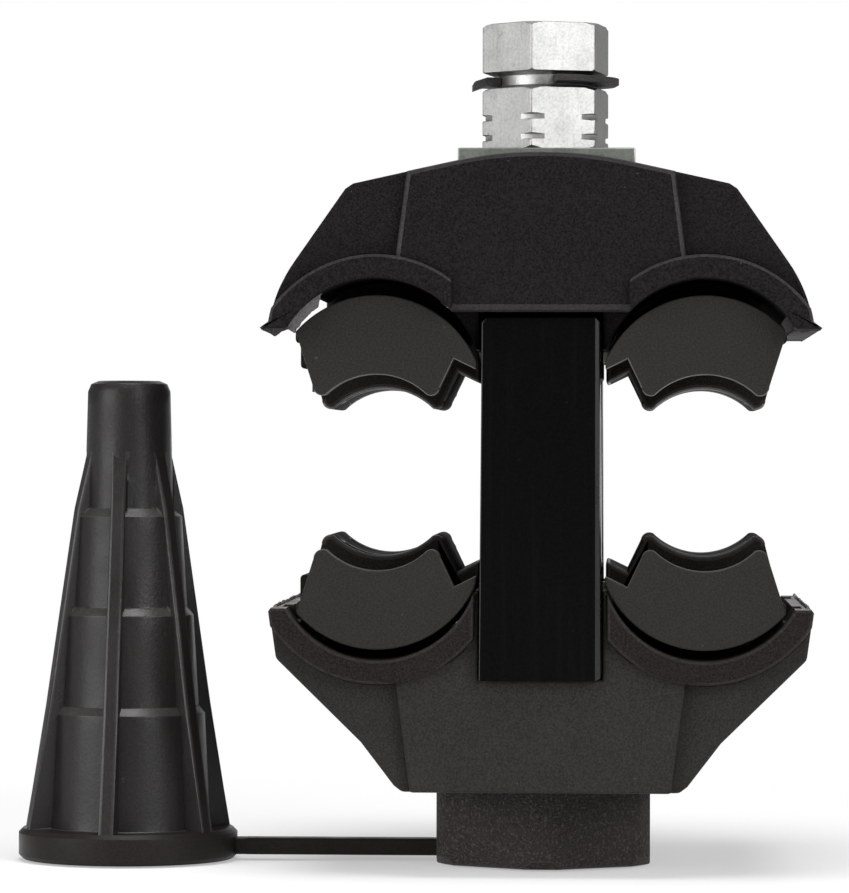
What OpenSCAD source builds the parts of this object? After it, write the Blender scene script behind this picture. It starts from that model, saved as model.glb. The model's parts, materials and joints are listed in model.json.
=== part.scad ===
// Insulation piercing connector with a shear nut, four sealing boots, toothed contact
// blades and an end cap on a strap. Millimetres, +Z up along the bolt, cables along Y.

/* [Bolt, nut and washer] */
// Bolt diameter
bolt_d = 8; // [7:0.5:8.5]
// Bolt length under its head
bolt_len = 80; // [78:1:84]
// Thread pitch
bolt_pitch = 1.25; // [1:0.05:1.25]
// Turns of the nut from open to closed
close_turns = 10; // [8:1:10]
// Width across flats of every hexagon
hex_af = 13; // [12.5:0.5:14]
// Height of the bolt head
bolt_head_h = 5.3; // [4.5:0.1:5.6]
// Height of the hexagon that stays
nut_h = 7; // [6.5:0.1:8]
// Height of the thin neck
neck_h = 1.8; // [1.5:0.1:2.4]
// Wall of the thin neck
neck_wall = 1.1; // [0.9:0.1:1.4]
// Height of the hexagon that breaks off
head_h = 5.5; // [4.8:0.1:7]
// Bevel on the hexagon corners
hex_bevel = 0.7; // [0.4:0.1:0.9]
// Turn of the nut about the bolt
nut_yaw = 18.7; // [0:0.1:30]
// Height of the turned corner grooves
corner_groove_w = 0.6; // [0.4:0.05:0.9]
// Depth of the corner grooves at the corners
corner_groove_d = 0.65; // [0.4:0.05:0.8]
// Side of the square washer
washer_side = 19.8; // [18:0.2:22]
// Thickness of the square washer
washer_t = 2; // [1.5:0.1:2.5]
// Shift of the loose washer toward +X
washer_shift = 0.3; // [0:0.05:0.3]
// Diameter of the plastic limit disc
disc_d = 17; // [16.5:0.5:19]
// Thickness of the limit disc
disc_t = 0.9; // [0.7:0.1:1.2]
// Opening of the limit disc in degrees
disc_split = 78; // [60:1:90]

/* [Body halves] */
// Width of both halves
body_w = 59.2; // [58.4:0.2:60.4]
// Distance from the bolt axis to each cable axis
channel_x = 17.8; // [17.6:0.1:18]
// Radius of the cradles for the boots
cradle_r = 11.2; // [11:0.1:11.3]
// Thickness of the collars round the cradles
collar_t = 2.6; // [2.2:0.1:3]
// Height of the lower cradle axis over the lower half's underside
lower_axis_h = 25.6; // [25:0.1:26.4]
// Distance between the cradle axes when open
axis_gap = 19; // [18.8:0.1:20]
// Distance of the upper outer lips from the upper cradle axis
upper_lip_drop = 5.7; // [5.4:0.1:6]
// Distance of the lower outer lips from the lower cradle axis
lower_lip_drop = 5.5; // [5.2:0.1:5.8]
// Distance of the inner walls from the cradle axes
inner_drop = 3.6; // [3.3:0.1:4]
// Distance of the centre blocks from the cradle axes
boss_drop = 0.6; // [0.4:0.1:1]
// Crown height over the upper cradle axis
crown_h = 24.9; // [24.5:0.1:25.6]
// Radius of the crown
crown_r = 45; // [40:1:60]
// Half width of the shoulders
shoulder_x = 20.9; // [20.5:0.1:21.5]
// Shoulder height over the upper cradle axis
shoulder_h = 21.4; // [21.1:0.1:21.7]
// Radius of the curved flanks
flank_r = 16; // [15:0.5:17]
// Half width of the lower half's underside
base_x = 16; // [15.5:0.1:16.5]
// Half width where the lower flanks bend
kink_x = 19.6; // [19.2:0.1:20]
// Height of that bend over the underside
kink_h = 5.4; // [5:0.1:5.8]
// Height of the widest point of the lower flanks
flank_h = 14.5; // [14.2:0.1:15]
// Depth over the upper collars, along the cables
body_depth = 55.4; // [54:0.2:58]
// Setback of the lower half from the upper half at each end
lower_setback = 3.6; // [3.4:0.1:4]
// Step from wing to centre panel
panel_step = 1.2; // [0.8:0.1:1.6]
// Rise of the collars over the centre panels
collar_rise = 0.9; // [0.6:0.1:1.2]
// Half width of the centre panels at the outer edge
panel_x = 14.2; // [13.8:0.1:14.6]
// Height of the upper front edge over the upper cradle axis
edge_h = 7.6; // [7.3:0.1:8]
// Half width between the upper collars
edge_x = 9.6; // [9.3:0.1:10]
// Depth of the washer seat under the crown
seat_drop = 0.5; // [0.4:0.1:0.7]
// Thickness of the upper front lip beside the side opening
front_lip_t = 2.8; // [2.4:0.1:3.2]
// Height of the side opening over the upper lips
side_open_h = 5.2; // [4.6:0.1:5.6]
// Distance of the side opening from the left cable axis
side_open_u = 6.5; // [6.5:0.1:7]
// Width of the notches in the lower lips
lip_notch_w = 8; // [6:0.5:9]
// Distance of the notches from the lower wings, to their inner end
lip_notch_out = 9.5; // [9.2:0.1:11]
// Depth of the moulding flash at the upper lips
flash_w = 0.7; // [0.4:0.1:1]

/* [Centre guide] */
// Width of the guide posts at the foot
guide_w = 13.3; // [12.9:0.1:13.4]
// Narrowing of the posts toward the top
guide_draft = 0.5; // [0.4:0.1:1]
// Setback of the posts from the upper wings
guide_setback = 1; // [0.9:0.1:1.3]
// Height of the posts over the guide seat
guide_h = 39.3; // [39:0.1:39.5]
// Height of the guide seat over the lower half's underside
guide_seat_h = 12.3; // [12:0.1:12.8]
// Half depth of the centre block
block_y = 9.6; // [9.4:0.1:10]

/* [Sealing boots] */
// Lift of the upper boots' end walls out of their cradles
upper_seat_gap = 1.75; // [1.6:0.05:1.9]
// Lift of the lower boots' end walls out of their cradles
lower_seat_gap = 1.15; // [1.1:0.05:1.3]
// Extra radius of the boots' outer arc over the cradles
boot_flat = 0.5; // [0.4:0.05:0.6]
// Radius of the cable groove
groove_r = 7.9; // [7.5:0.1:8]
// Thickness of the boots under the groove
boot_t = 8.6; // [8.4:0.1:8.7]
// Height of the groove lobes
lobe_h = 10.9; // [10.8:0.1:11.1]
// Rounding of the groove lobes
lobe_r = 1; // [0.8:0.05:1.1]
// Extra height of the middle of the boots
block_lift = 1.35; // [1.2:0.05:1.5]
// Half depth of the middle of the boots
boot_mid_y = 10.4; // [10.2:0.1:10.8]
// Thickness of the end walls
boot_wall = 2.6; // [2.2:0.1:3]
// Height of the boots between the walls
boot_pocket_h = 5.2; // [5:0.1:5.6]
// Setback of the end walls from the collars
boot_setback = 0.6; // [0.4:0.1:1]
// Half width of the boots on the side away from the bolt
boot_out_w = 8.8; // [8.6:0.1:8.9]
// Half width of the boots' seat on that side
seat_out_w = 6.4; // [6:0.1:6.5]
// Width of the locating keys
key_w = 10.2; // [9.6:0.1:10.8]
// Depth of the locating keys in the bodies
key_depth = 0.7; // [0.5:0.1:0.9]

/* [Contact blades] */
// Blade thickness
blade_t = 2; // [1.8:0.1:2]
// Height of the bar across the middle
blade_h = 3.5; // [3.2:0.1:3.6]
// Height of the bar over the boot's outer arc
blade_lift = 3.5; // [3.4:0.1:3.7]
// Teeth in each groove
teeth = 5; // [4:1:6]
// Height of the teeth
tooth_h = 1.5; // [1.2:0.1:1.7]
// Tooth points under the groove surface
tooth_sink = 0.4; // [0.3:0.1:0.6]

/* [Bolt cover] */
// Width across flats of the cover
cover_af = 24; // [23.6:0.1:24.6]
// Height of the cover
cover_h = 9.25; // [9.2:0.05:9.8]
// Height of the ring that locks the cover in the lower half
cover_lock_h = 1.8; // [1.4:0.1:2.2]

/* [End cap] */
// Distance from the bolt axis to the cap axis
cap_x = 47.4; // [46.8:0.1:49]
// Height of the cap
cap_h = 54.3; // [53:0.1:56]
// Flange diameter
cap_flange_d = 24.9; // [24.4:0.1:25.6]
// Flange thickness
cap_flange_t = 3.5; // [3.3:0.1:3.7]
// Outer radius of the narrowest step
cap_tip_r = 4.7; // [4.5:0.1:4.9]
// Outer radius of the widest step
cap_foot_r = 8.7; // [8.5:0.1:8.9]
// Widening of each step toward its foot
cap_taper = 0.65; // [0.5:0.05:0.75]
// Wall of the cap
cap_wall = 1.5; // [1.3:0.1:1.6]
// Depth of the wide bore in the cap
cap_bore_h = 16.5; // [15:0.1:17]
// Height of the lowest step
cap_step_z = 17.4; // [16.8:0.1:18]
// Distance from step to step
cap_step_pitch = 11.2; // [10.8:0.1:11.6]
// Thickness of the cap ribs
cap_rib_t = 1.7; // [1.5:0.1:1.9]
// Height at which the cap ribs run out
cap_rib_h = 46; // [45:0.2:47]
// Turn of the cap's ribs about the cap axis, in degrees
cap_yaw = 6; // [4:0.5:8]
// Height of the strap's middle
strap_z = 1.45; // [1.4:0.05:1.5]
// Strap thickness
strap_t = 1.9; // [1.7:0.1:2]
// Strap width
strap_w = 2.4; // [2.2:0.1:2.5]
// Radius of the bead at the strap's end
bead_r = 2.2; // [2.1:0.05:2.3]

/* [Fits] */
// Nut bore over the bolt, per side
thread_gap = 0.1; // [0.05:0.01:0.1]
// Hole in the upper half over the bolt, per side
slide_gap = 0.4; // [0.3:0.05:0.45]
// Hole in the washer over the bolt, per side
washer_gap = 0.6; // [0.6:0.05:0.7]
// Posts in the upper half, per side
guide_gap = 0.3; // [0.25:0.05:0.35]
// Gap under the turning nut
turn_gap = 0.1; // [0.05:0.01:0.15]
// Parts seated in one another, per side
seat_fit = 0.1; // [0.05:0.01:0.12]
// Bead in its socket, per side
bead_gap = 0.1; // [0.05:0.01:0.1]

/* [Hidden] */

$fn = 96;
far = 200;
bolt_r = bolt_d / 2;
close_travel = close_turns * bolt_pitch;
half_w = body_w / 2;
under_z = cover_h;
lower_axis_z = under_z + lower_axis_h;
upper_axis_z = lower_axis_z + axis_gap;
lower_lip_z = lower_axis_z - lower_lip_drop;
upper_lip_z = upper_axis_z + upper_lip_drop;
crown_z = upper_axis_z + crown_h;
shoulder_z = upper_axis_z + shoulder_h;
washer_z = crown_z - seat_drop;
nut_z = washer_z + washer_t + turn_gap;
edge_z = upper_axis_z + edge_h;
guide_z = under_z + guide_seat_h;
guide_top_z = guide_z + guide_h;
flank_cx = half_w - flank_r;
flank_cz = upper_lip_z - 1.8;
flash_h = 0.8;
boot_lower_z = lower_axis_z - cradle_r + lower_seat_gap;
boot_upper_z = upper_axis_z + cradle_r - upper_seat_gap;
upper_collar_y = body_depth / 2;
upper_wing_y = upper_collar_y - panel_step - collar_rise;
lower_wing_y = upper_wing_y - lower_setback;
lower_collar_y = lower_wing_y + panel_step + collar_rise;
guide_y = upper_wing_y - guide_setback;
boot_r = cradle_r + boot_flat;
lobe_nip = 0.05;
lobe_v = lobe_h - lobe_r;
lobe_u = sqrt(pow(groove_r + lobe_r - lobe_nip, 2) - pow(boot_t + groove_r - lobe_v, 2));
boot_outer_v = 3.9;
boot_notch_u = 8.4;
boot_notch_v = 6.9;
tip_inset = 0.4;
boot_tip_u = cradle_r - tip_inset;
boot_tip_v = 8.05;
tab_low_u = 9.4;
tab_low_v = 7.7;
tab_high_u = 8.1;
tab_high_v = 10.3;
tab_t = 4;
tab_inset = 1.5;
floor_inset = 0.5;
blade_wall = 1.1;
blade_y = bolt_r + slide_gap + blade_wall + blade_t / 2;
blade_tip_u = 4.5;
neck_r = bolt_r + thread_gap + neck_wall;
split_turn = -121;
hex_r = hex_af / 2 / cos(30);
cover_r = cover_af / 2 / cos(30);
lock_r = cover_af / 2 - 1.4;
lock_t = 1.8;
bead_x = cover_af / 2 - 3;
flange_r = cap_flange_d / 2;
strap_root_x = flange_r - cap_x + 1.2;

// Points on an arc; angles are measured from +Z toward +X.
function arc(cx, cz, r, from, to, steps) =
    [for (i = [0:steps]) let (a = from + (to - from) * i / steps) [cx + r * sin(a), cz + r * cos(a)]];

// Angle from +Z of the point on a circle where the line from an outer point touches it.
function touch(cx, cz, r, x, z, side) =
    atan2(x - cx, z - cz) + side * acos(r / norm([x - cx, z - cz]));

function mirrored(points) = [for (i = [len(points) - 1:-1:0]) [-points[i].x, points[i].y]];

module both_sides() {
    children();
    mirror([1, 0, 0]) children();
}

module both_ends() {
    children();
    mirror([0, 1, 0]) children();
}

// Extrudes a front-view profile by a half depth to the front and to the back.
module slab(half_depth) {
    rotate([90, 0, 0]) linear_extrude(height = 2 * half_depth, center = true) children();
}

// Hexagonal prism with its corners bevelled at the chosen ends.
module hexagon(height, bevel_low, bevel_high) {
    slope = 0.58;
    outer = hex_r + 0.02;
    intersection() {
        rotate([0, 0, nut_yaw]) cylinder(r = hex_r, h = height, $fn = 6);
        rotate_extrude() polygon([
            [0, 0],
            [outer - bevel_low, 0],
            [outer, slope * bevel_low],
            [outer, height - slope * bevel_high],
            [outer - bevel_high, height],
            [0, height]
        ]);
    }
}

module upper_outline() {
    crown_cz = crown_z - crown_r;
    crown_a = touch(0, crown_cz, crown_r, shoulder_x, shoulder_z, -1);
    flank_a = touch(flank_cx, flank_cz, flank_r, shoulder_x, shoulder_z, 1);
    lip_a = acos((upper_lip_z + flash_h - flank_cz) / flank_r);
    side = concat(
        arc(0, crown_cz, crown_r, 0, crown_a, 6),
        [[shoulder_x - 0.55, shoulder_z + 0.12], [shoulder_x + 0.3, shoulder_z - 0.45]],
        arc(flank_cx, flank_cz, flank_r, flank_a, lip_a, 8),
        [[half_w + flash_w, upper_lip_z + 0.15], [half_w + flash_w - 0.15, upper_lip_z],
        [channel_x, upper_lip_z], [channel_x, upper_axis_z + inner_drop]]
    );
    polygon(concat(side, mirrored(side)));
}

module lower_outline() {
    side = [
        [base_x - 0.9, under_z],
        [base_x, under_z + 0.7],
        [kink_x, under_z + kink_h],
        [half_w - 0.7, under_z + flank_h],
        [half_w, lower_lip_z - 0.4],
        [half_w - 0.3, lower_lip_z],
        [channel_x, lower_lip_z],
        [channel_x, lower_axis_z - inner_drop]
    ];
    polygon(concat(side, mirrored(side)));
}

module cradle(axis_z) {
    both_sides() translate([channel_x, axis_z]) circle(r = cradle_r);
}

module collar(axis_z, inner_x, from_z, to_z) {
    both_sides() intersection() {
        translate([channel_x, axis_z]) circle(r = cradle_r + collar_t);
        translate([inner_x, from_z]) square([far, to_z - from_z]);
    }
}

// Slots for the two blades of one half, open toward the cables.
module blade_slots(from_z, to_z) {
    wide = channel_x;
    both_ends() translate([-wide, blade_y - blade_t / 2 - seat_fit, from_z])
        cube([2 * wide, blade_t + 2 * seat_fit, to_z - from_z]);
}

// Pockets for the boots' keys; side is 1 above the cables and -1 below.
module key_pockets(axis_z, side) {
    depth = cradle_r + key_depth;
    both_sides() translate([channel_x - key_w / 2 - seat_fit, -boot_mid_y, axis_z + min(0, side * depth)])
        cube([key_w + 2 * seat_fit, 2 * boot_mid_y, depth]);
}

module upper_body() {
    pocket_x = guide_w / 2 + seat_fit;
    pocket_top = guide_top_z + close_travel + 0.5;
    inner_z = upper_axis_z + inner_drop;
    inner_y = lower_wing_y;
    spread = 0.13 * (crown_z - edge_z);
    color("DimGray") difference() {
        union() {
            difference() {
                union() {
                    slab(upper_wing_y) upper_outline();
                    slab(upper_wing_y + panel_step) intersection() {
                        upper_outline();
                        polygon([
                            [-panel_x, crown_z], [panel_x, crown_z],
                            [panel_x + spread, edge_z], [-panel_x - spread, edge_z]
                        ]);
                    }
                    slab(upper_collar_y) intersection() {
                        upper_outline();
                        collar(upper_axis_z, edge_x, upper_lip_z, crown_z);
                    }
                }
                slab(far) cradle(upper_axis_z);
                both_ends() translate([-edge_x, inner_y, inner_z - 1])
                    cube([2 * edge_x, far, edge_z - inner_z + 1]);
            }
            translate([-guide_w / 2, -block_y, upper_axis_z + boss_drop])
                cube([guide_w, 2 * block_y, edge_z - upper_axis_z]);
        }
        both_ends() translate([-pocket_x, block_y, inner_z - 1])
            cube([2 * pocket_x, guide_y + guide_gap - block_y, pocket_top - inner_z + 1]);
        cylinder(r = bolt_r + slide_gap, h = far);
        blade_slots(upper_axis_z, boot_upper_z - blade_lift);
        key_pockets(upper_axis_z, 1);
        translate([-shoulder_x, -lower_wing_y, washer_z]) cube([2 * shoulder_x, 2 * lower_wing_y, far]);
        translate([-channel_x - side_open_u - far, front_lip_t - upper_collar_y, upper_lip_z - 1])
            cube([far, far, side_open_h + 1]);
    }
}

module lower_body() {
    slot_x = guide_w / 2 + seat_fit;
    spread = 0.13 * guide_seat_h;
    lip_wall = 1.2;
    lip_t = 2.8;
    notch_d = 1.6;
    color("SlateGray") difference() {
        union() {
            slab(lower_wing_y) lower_outline();
            slab(lower_wing_y + panel_step) intersection() {
                lower_outline();
                polygon([
                    [-panel_x, under_z], [panel_x, under_z],
                    [panel_x + 2 * spread, under_z + 2 * guide_seat_h],
                    [-panel_x - 2 * spread, under_z + 2 * guide_seat_h]
                ]);
            }
            slab(lower_collar_y) intersection() {
                lower_outline();
                collar(lower_axis_z, slot_x + 0.5, under_z, lower_axis_z);
            }
        }
        slab(far) cradle(lower_axis_z);
        translate([-slot_x, -far / 2, guide_z]) cube([2 * slot_x, far, far]);
        cylinder(r = bolt_r + seat_fit, h = far, center = true);
        blade_slots(boot_lower_z + blade_lift, lower_axis_z);
        key_pockets(lower_axis_z, -1);
        both_sides() both_ends()
            translate([half_w - lip_t - lip_wall, lower_wing_y - lip_notch_out, lower_lip_z - notch_d])
            cube([lip_t, lip_notch_w, 2 * notch_d]);
        translate([0, 0, under_z]) rotate_extrude() translate([lock_r - lock_t - seat_fit, -1])
            square([lock_t + 2 * seat_fit, cover_lock_h + seat_fit + 1]);
    }
}

module centre_guide() {
    foot = guide_w / 2;
    top = foot - guide_draft / 2;
    block_top = lower_axis_z - boss_drop;
    color("Black") difference() {
        union() {
            both_ends() translate([0, (guide_y + block_y) / 2, 0]) slab((guide_y - block_y) / 2) polygon([
                [-foot, guide_z], [foot, guide_z],
                [top, guide_top_z - 0.5], [top - 0.5, guide_top_z],
                [0.5 - top, guide_top_z], [-top, guide_top_z - 0.5]
            ]);
            translate([-foot, -block_y, guide_z]) cube([guide_w, 2 * block_y, block_top - guide_z]);
        }
        cylinder(r = bolt_r + slide_gap, h = far);
        blade_slots(boot_lower_z + blade_lift, far);
    }
}

module clamp_bolt() {
    tip = 0.8;
    top_z = under_z + bolt_len;
    color("Silver") {
        translate([0, 0, under_z]) rotate_extrude() polygon([
            [0, -0.5], [bolt_r, -0.5], [bolt_r, bolt_len - tip], [bolt_r - tip, bolt_len], [0, bolt_len]
        ]);
        translate([0, 0, under_z - bolt_head_h]) rotate([0, 0, 30 - nut_yaw])
            hexagon(bolt_head_h, hex_bevel, 0);
    }
}

module shear_nut() {
    flare = 0.35;
    color("LightGray") translate([0, 0, nut_z]) difference() {
        union() {
            difference() {
                hexagon(nut_h, hex_bevel, hex_bevel);
                for (z = [0.2, 0.52]) translate([0, 0, z * nut_h - corner_groove_w / 2]) rotate_extrude()
                    translate([hex_r - corner_groove_d, 0]) square([hex_r, corner_groove_w]);
            }
            rotate_extrude() polygon([
                [0, nut_h - 0.5], [neck_r + flare, nut_h - 0.5], [neck_r + flare, nut_h],
                [neck_r, nut_h + flare], [neck_r, nut_h + neck_h - flare],
                [neck_r + flare, nut_h + neck_h], [neck_r + flare, nut_h + neck_h + 0.5],
                [0, nut_h + neck_h + 0.5]
            ]);
            translate([0, 0, nut_h + neck_h]) hexagon(head_h, 0.3, hex_bevel);
        }
        translate([0, 0, -1]) cylinder(r = bolt_r + thread_gap, h = far);
    }
}

module limit_disc() {
    disc_z = nut_z + nut_h + (neck_h - disc_t) / 2;
    inner_r = neck_r + seat_fit;
    opening = disc_d * tan(disc_split / 2);
    color("Black") translate([0, 0, disc_z]) rotate([0, 0, split_turn]) difference() {
        cylinder(d = disc_d, h = disc_t);
        translate([0, 0, -1]) cylinder(r = inner_r, h = disc_t + 2);
        translate([0, 0, -1]) linear_extrude(height = disc_t + 2)
            polygon([[0, 0], [disc_d, -opening], [disc_d, opening]]);
    }
}

module square_washer() {
    bevel = 0.3;
    hole_r = bolt_r + washer_gap;
    color("Gainsboro") translate([washer_shift, 0, washer_z]) difference() {
        translate([-washer_side / 2, -washer_side / 2, 0]) cube([washer_side, washer_side, washer_t]);
        translate([0, 0, -1]) cylinder(r = hole_r, h = washer_t + 2);
        translate([0, 0, washer_t - bevel]) cylinder(r1 = hole_r, r2 = hole_r + bevel, h = bevel + 0.01);
    }
}

// Section of a boot with round lobes; u runs out from the bolt and v from the outer arc toward the cable.
module boot_section(lift, foot_u, foot_v) {
    top_v = lobe_v + lift;
    reach = lobe_r - lobe_nip;
    share = reach / (groove_r + reach);
    seam_u = lobe_u * (1 - share);
    seam_v = top_v + share * (boot_t + groove_r - lobe_v);
    out_a = touch(lobe_u, top_v, lobe_r, boot_out_w, boot_outer_v, -1);
    in_a = touch(-lobe_u, top_v, lobe_r, -boot_notch_u, boot_notch_v + lift, 1);
    polygon([
        [foot_u, -cradle_r], [foot_u, foot_v], [boot_out_w, boot_outer_v],
        [lobe_u + reach * sin(out_a), top_v + reach * cos(out_a)], [seam_u, seam_v],
        [-seam_u, seam_v], [-lobe_u + reach * sin(in_a), top_v + reach * cos(in_a)],
        [-boot_notch_u, boot_notch_v + lift], [-boot_tip_u, boot_tip_v + lift], [-boot_tip_u, -cradle_r]
    ]);
    both_sides() translate([lobe_u, top_v]) circle(r = lobe_r);
}

// One boot with the outer arc of its end walls at z = 0 and the cable above it.
// Its tabs stand out on its far side.
module boot(wall_y, seat_gap, tabs) {
    seat_v = cradle_r - sqrt(pow(cradle_r, 2) - pow(seat_out_w, 2));
    tab_u = [tab_low_u, tab_high_u];
    tab_v = [tab_low_v, tab_high_v];
    difference() {
        union() {
            intersection() {
                union() {
                    both_ends() translate([0, wall_y - boot_wall / 2, 0]) slab(boot_wall / 2)
                        boot_section(0, boot_out_w, 0);
                    translate([-boot_tip_u, floor_inset - wall_y, -cradle_r])
                        cube([boot_tip_u + boot_out_w, 2 * (wall_y - floor_inset), cradle_r + boot_pocket_h]);
                    for (i = [0:1:tabs - 1]) translate([0, tab_inset - boot_mid_y, tab_v[i] - tab_t])
                        cube([tab_u[i], 2 * (boot_mid_y - tab_inset), tab_t]);
                }
                translate([0, 0, boot_r]) slab(wall_y + 1) circle(r = boot_r);
            }
            intersection() {
                slab(boot_mid_y) boot_section(block_lift, seat_out_w, seat_v);
                translate([0, 0, cradle_r - seat_gap]) slab(boot_mid_y + 1) circle(r = cradle_r - seat_fit);
            }
            translate([-key_w / 2, seat_fit - boot_mid_y, -seat_gap - key_depth])
                cube([key_w, 2 * (boot_mid_y - seat_fit), seat_gap + key_depth + 2]);
        }
        both_ends() translate([0, boot_mid_y + far / 2, boot_t + groove_r])
            slab(far / 2) circle(r = groove_r);
        translate([0, 0, boot_t + block_lift + groove_r]) slab(boot_mid_y + 1) circle(r = groove_r);
        both_ends() translate([0, blade_y, 0]) slab(blade_t / 2 + seat_fit) {
            translate([-blade_tip_u - seat_fit, blade_lift]) square([2 * (blade_tip_u + seat_fit), far]);
            translate([-channel_x, blade_lift]) square([channel_x, blade_h + seat_fit]);
        }
    }
}

module lower_boot(tabs) {
    translate([channel_x, 0, boot_lower_z]) boot(lower_collar_y - boot_setback, lower_seat_gap, tabs);
}

module upper_boot(tabs) {
    translate([channel_x, 0, boot_upper_z]) mirror([0, 0, 1])
        boot(upper_wing_y - boot_setback, upper_seat_gap, tabs);
}

module boot_upper_left() {
    color("DarkSlateGray") mirror([1, 0, 0]) upper_boot(2);
}

module boot_upper_right() {
    color("DarkSlateGray") upper_boot(0);
}

module boot_lower_left() {
    color("DarkSlateGray") mirror([1, 0, 0]) lower_boot(1);
}

module boot_lower_right() {
    color("DarkSlateGray") lower_boot(0);
}

// A blade: a bar across the bolt axis with a toothed head under each groove.
module blade() {
    centre_v = boot_t + block_lift + groove_r;
    tip_r = groove_r + tooth_sink;
    root_r = tip_r + tooth_h;
    pitch_a = 2 * asin(blade_tip_u / root_r) / teeth;
    start_a = pitch_a * teeth / 2;
    bar_v = blade_lift + blade_h;
    side = concat(
        [[channel_x - blade_tip_u, bar_v]],
        [for (i = [0:2 * teeth]) let (a = i * pitch_a / 2 - start_a, r = i % 2 == 0 ? root_r : tip_r)
            [channel_x + r * sin(a), centre_v - r * cos(a)]],
        [[channel_x + blade_tip_u, blade_lift]]
    );
    color("Goldenrod") slab(blade_t / 2) polygon(concat(side, mirrored(side)));
}

module lower_blade(y) {
    translate([0, y, boot_lower_z]) blade();
}

module upper_blade(y) {
    translate([0, y, boot_upper_z]) mirror([0, 0, 1]) blade();
}

module blade_upper_front() {
    upper_blade(-blade_y);
}

module blade_upper_rear() {
    upper_blade(blade_y);
}

module blade_lower_front() {
    lower_blade(-blade_y);
}

module blade_lower_rear() {
    lower_blade(blade_y);
}

// Hexagonal cup over the bolt head, with a ring that locks in the lower half.
module bolt_cover() {
    bevel = 0.9;
    head_pocket = bolt_head_h + 0.3;
    socket_r = bead_r + bead_gap;
    socket_top = strap_z + strap_t / 2 + 0.35;
    swing = 25;
    throat = strap_w / 2 / cos(swing) + 0.2;
    color("DimGray") difference() {
        union() {
            intersection() {
                rotate([0, 0, 30]) cylinder(r = cover_r, h = cover_h, $fn = 6);
                rotate_extrude() polygon([
                    [0, 0], [cover_r - 1.2, 0], [cover_r - 0.6, bevel], [cover_r - 0.6, cover_h], [0, cover_h]
                ]);
            }
            translate([0, 0, cover_h - 0.5]) rotate_extrude() translate([lock_r - lock_t, 0])
                square([lock_t, cover_lock_h + 0.5]);
        }
        translate([0, 0, cover_h - head_pocket]) rotate([0, 0, 30])
            cylinder(r = hex_r + seat_fit, h = head_pocket + 1, $fn = 6);
        translate([-bead_x, 0, -1]) cylinder(r = socket_r, h = socket_top + 1);
        translate([-bead_x, 0, -1]) linear_extrude(height = socket_top + 1) polygon([
            [0, throat], [0, -throat],
            [-4, -throat - 4 * tan(swing)], [-4, throat + 4 * tan(swing)]
        ]);
    }
}

// Stepped outside of the cap from its top to its flange; the tip and each step widen toward their feet.
function cap_profile(low_z, high_z) =
    let (
        tip_taper = 0.35,
        step_r = (cap_foot_r - cap_tip_r) / 3,
        edges = [high_z, cap_step_z + 2 * cap_step_pitch, cap_step_z + cap_step_pitch, cap_step_z, low_z]
    )
    [for (i = [0:3]) each [
        [cap_tip_r + i * step_r, i == 0 ? edges[i] : edges[i] - 0.9],
        [cap_tip_r + i * step_r + (i == 0 ? tip_taper : cap_taper), edges[i + 1]]
    ]];

// Stepped cap with its ribs, a bore that narrows toward the top, and the root of the strap.
module end_cap() {
    bevel = 0.5;
    top_r = 1.2;
    ribs = 6;
    rib_reach = 0.95;
    bore_r = cap_foot_r - cap_wall;
    tip_bore_r = cap_tip_r - cap_wall - 0.2;
    outer = cap_profile(cap_flange_t, cap_h - top_r);
    color("DimGray") {
        translate([-cap_x, 0, 0]) difference() {
            union() {
                rotate_extrude() polygon(concat(
                    [[0, cap_h], [cap_tip_r - top_r, cap_h], [cap_tip_r - 0.3 * top_r, cap_h - 0.3 * top_r]],
                    outer,
                    [[flange_r - bevel, cap_flange_t], [flange_r, cap_flange_t - bevel],
                    [flange_r, bevel], [flange_r - bevel, 0], [0, 0]]
                ));
                for (i = [0:ribs - 1]) rotate([0, 0, 360 * i / ribs - 90 - cap_yaw])
                    slab(cap_rib_t / 2) polygon([
                        [0, 1], [flange_r - bevel, 1], [flange_r - bevel, cap_flange_t],
                        [cap_foot_r + rib_reach, cap_step_z],
                        [cap_tip_r + 1.6, cap_step_z + 2 * cap_step_pitch],
                        [cap_tip_r + 0.1, cap_rib_h], [0, cap_rib_h]
                    ]);
            }
            rotate_extrude() polygon([
                [0, -1], [bore_r, -1], [bore_r, cap_bore_h], [cap_tip_r, cap_bore_h],
                [tip_bore_r, cap_h - cap_wall], [0, cap_h - cap_wall]
            ]);
            translate([0, 0, cap_h + 3.2]) sphere(r = 3.6);
        }
        translate([0, 0, strap_z]) slab(strap_w / 2) polygon([
            [strap_root_x, -strap_t / 2], [flange_r - cap_x - bevel, bevel - strap_z],
            [flange_r - cap_x - bevel, strap_z - bevel], [strap_root_x, strap_t / 2]
        ]);
    }
}

// The strap from its root at the cap to the bead that swivels in the cover.
module cap_strap() {
    color("DimGray") translate([0, 0, strap_z]) {
        translate([-bead_x, 0, 0]) cylinder(r = bead_r, h = strap_t, center = true);
        translate([strap_root_x, -strap_w / 2, -strap_t / 2])
            cube([-bead_x - strap_root_x, strap_w, strap_t]);
    }
}

upper_body();
lower_body();
centre_guide();
clamp_bolt();
shear_nut();
limit_disc();
square_washer();
boot_upper_left();
boot_upper_right();
boot_lower_left();
boot_lower_right();
blade_upper_front();
blade_upper_rear();
blade_lower_front();
blade_lower_rear();
bolt_cover();
end_cap();
cap_strap();
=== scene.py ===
import json
import math

import bmesh
import bpy
from mathutils import Matrix, Vector, noise

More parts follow.
